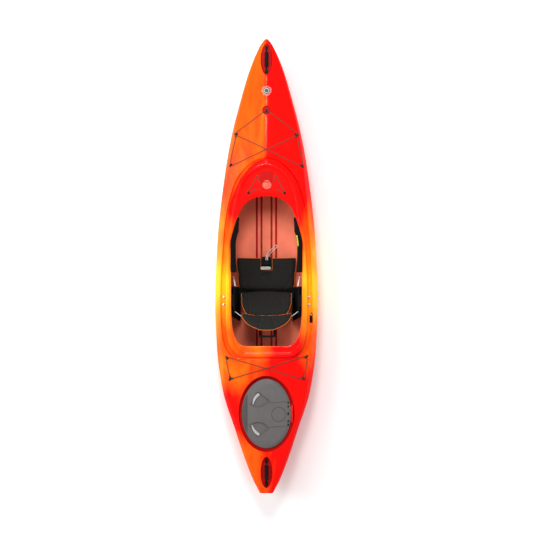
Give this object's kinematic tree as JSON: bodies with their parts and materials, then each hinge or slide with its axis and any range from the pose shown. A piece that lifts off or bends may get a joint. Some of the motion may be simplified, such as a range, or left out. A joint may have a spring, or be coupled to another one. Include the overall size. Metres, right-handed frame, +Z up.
{
  "type": "recreational kayak",
  "caption": "Sit-inside recreational kayak with cushioned seat, folding backrest, leg lifter, sliding foot braces, hinged stern hatch, drop-down skeg, carry handles and deck rigging.",
  "frame": {"origin": "below the middle of the hull, on the flat of the keel that it rests on", "axes": "+Y towards the bow, +X to starboard, +Z up"},
  "size_m": [0.7282, 3.2, 0.3699],
  "materials": {
    "hull_plastic": "red moulded polyethylene fading to yellow amidships, satin gloss",
    "black_plastic": "black moulded plastic",
    "grip_rubber": "black ribbed rubber",
    "webbing": "black woven webbing",
    "shock_cord": "brown-grey braided shock cord",
    "line_cord": "pale grey braided line",
    "foam": "dark closed-cell foam",
    "seat_fabric": "charcoal mesh cloth with orange piping",
    "pad_fabric": "black padded cloth",
    "hatch_plastic": "dark grey moulded plastic, fine grain",
    "latch_plastic": "mid grey moulded plastic",
    "seal_rubber": "black rubber",
    "steel": "stainless steel",
    "badge_plastic": "silver grey, bare",
    "knob_plastic": "off-white"
  },
  "bodies": {
    "boat": {"hull": "hull_plastic", "bow_handle_anchor_front": "black_plastic", "bow_handle_anchor_rear": "black_plastic", "stern_handle_anchor_front": "black_plastic", "stern_handle_anchor_rear": "black_plastic", "bow_eye_middle": "black_plastic", "bow_eye_port_front": "black_plastic", "bow_eye_starboard_front": "black_plastic", "bow_eye_port_rear": "black_plastic", "bow_eye_starboard_rear": "black_plastic", "stern_eye_port_front": "black_plastic", "stern_eye_starboard_front": "black_plastic", "stern_eye_port_rear": "black_plastic", "stern_eye_starboard_rear": "black_plastic", "seat_pan": "black_plastic", "leg_lifter_cleat": "black_plastic", "seat_side_port": "black_plastic", "seat_side_starboard": "black_plastic", "foot_rail_port": "black_plastic", "foot_rail_starboard": "black_plastic", "hatch_hinge_bracket": "black_plastic", "skeg_box": "black_plastic", "skeg_cleat": "black_plastic", "skeg_fairlead": "black_plastic", "bow_handle_webbing": "webbing", "stern_handle_webbing": "webbing", "bow_deck_cord": "shock_cord", "stern_deck_cord": "shock_cord", "dash_cord": "shock_cord", "leg_lifter_cord": "line_cord", "backrest_cord_port": "line_cord", "backrest_cord_starboard": "line_cord", "skeg_line": "line_cord", "stern_bulkhead": "foam", "bow_foam_pillar": "foam", "seat_cushion": "seat_fabric", "thigh_pad_port": "pad_fabric", "thigh_pad_starboard": "pad_fabric", "hatch_gasket": "seal_rubber", "seat_screw_port_1": "steel", "seat_screw_port_2": "steel", "seat_screw_starboard_1": "steel", "seat_screw_starboard_2": "steel", "skeg_pin": "steel", "bow_badge": "badge_plastic"},
    "bow_grip": {"bow_handle_grip": "grip_rubber"},
    "stern_grip": {"stern_handle_grip": "grip_rubber"},
    "hatch_lid": {"hatch_cover": "hatch_plastic"},
    "latch_front": {"hatch_latch_front": "latch_plastic"},
    "latch_rear": {"hatch_latch_rear": "latch_plastic"},
    "backrest_swing": {"backrest_frame": "black_plastic"},
    "backrest_cushions": {"backrest_pad": "seat_fabric", "backrest_band": "seat_fabric"},
    "leg_lifter": {"leg_lifter_plate": "black_plastic", "leg_lifter_pad": "seat_fabric"},
    "pedal_port": {"foot_pedal_port": "black_plastic"},
    "pedal_starboard": {"foot_pedal_starboard": "black_plastic"},
    "skeg": {"skeg_blade": "black_plastic"},
    "skeg_pull": {"skeg_knob": "knob_plastic"},
    "drain": {"drain_plug": "black_plastic"}
  },
  "joints": [
    {"name": "bow_grip_lift", "type": "slide", "parent": "boat", "child": "bow_grip", "axis": [0, 0, 1], "range_m": [0, 0.014], "deforming": ["bow_handle_webbing"]},
    {"name": "stern_grip_lift", "type": "slide", "parent": "boat", "child": "stern_grip", "axis": [0, 0, 1], "range_m": [0, 0.014], "deforming": ["stern_handle_webbing"]},
    {"name": "hatch_hinge", "type": "hinge", "parent": "boat", "child": "hatch_lid", "pos_m": [0.1815, -1.039, 0.296], "axis": [0, 1, 0], "range_deg": [0, 110]},
    {"name": "latch_front_turn", "type": "hinge", "parent": "hatch_lid", "child": "latch_front", "pos_m": [-0.059, -0.905, 0.29924], "axis": [0, 0, 1], "range_deg": [0, 80]},
    {"name": "latch_rear_turn", "type": "hinge", "parent": "hatch_lid", "child": "latch_rear", "pos_m": [-0.059, -1.183, 0.29924], "axis": [0, 0, 1], "range_deg": [-85, 0]},
    {"name": "backrest_tilt", "type": "hinge", "parent": "boat", "child": "backrest_swing", "pos_m": [0, -0.186, 0.098], "axis": [1, 0, 0], "range_deg": [-75, 5], "deforming": ["backrest_cord_port", "backrest_cord_starboard"]},
    {"name": "backrest_height", "type": "slide", "parent": "backrest_swing", "child": "backrest_cushions", "axis": [0, -0.7547, 0.6561], "range_m": [0, 0.04]},
    {"name": "leg_lifter_tilt", "type": "hinge", "parent": "boat", "child": "leg_lifter", "pos_m": [0, -0.052, 0.098], "axis": [1, 0, 0], "range_deg": [0, 12]},
    {"name": "pedal_port_slide", "type": "slide", "parent": "boat", "child": "pedal_port", "axis": [0.1894, 0.9819, 0], "range_m": [0, 0.14]},
    {"name": "pedal_starboard_slide", "type": "slide", "parent": "boat", "child": "pedal_starboard", "axis": [-0.1894, 0.9819, 0], "range_m": [0, 0.14]},
    {"name": "skeg_hinge", "type": "hinge", "parent": "boat", "child": "skeg", "pos_m": [0, -1.258, 0.052], "axis": [1, 0, 0], "range_deg": [0, 70]},
    {"name": "skeg_knob_slide", "type": "slide", "parent": "boat", "child": "skeg_pull", "axis": [0, -1, 0], "range_m": [0, 0.0365]},
    {"name": "drain_plug_pull", "type": "slide", "parent": "boat", "child": "drain", "axis": [0, -1, 0], "range_m": [0, 0.03]}
  ],
  "couplings": [
    {"joint": "skeg_knob_slide", "follows": "skeg_hinge", "m_per_rad": 0.02946}
  ]
}
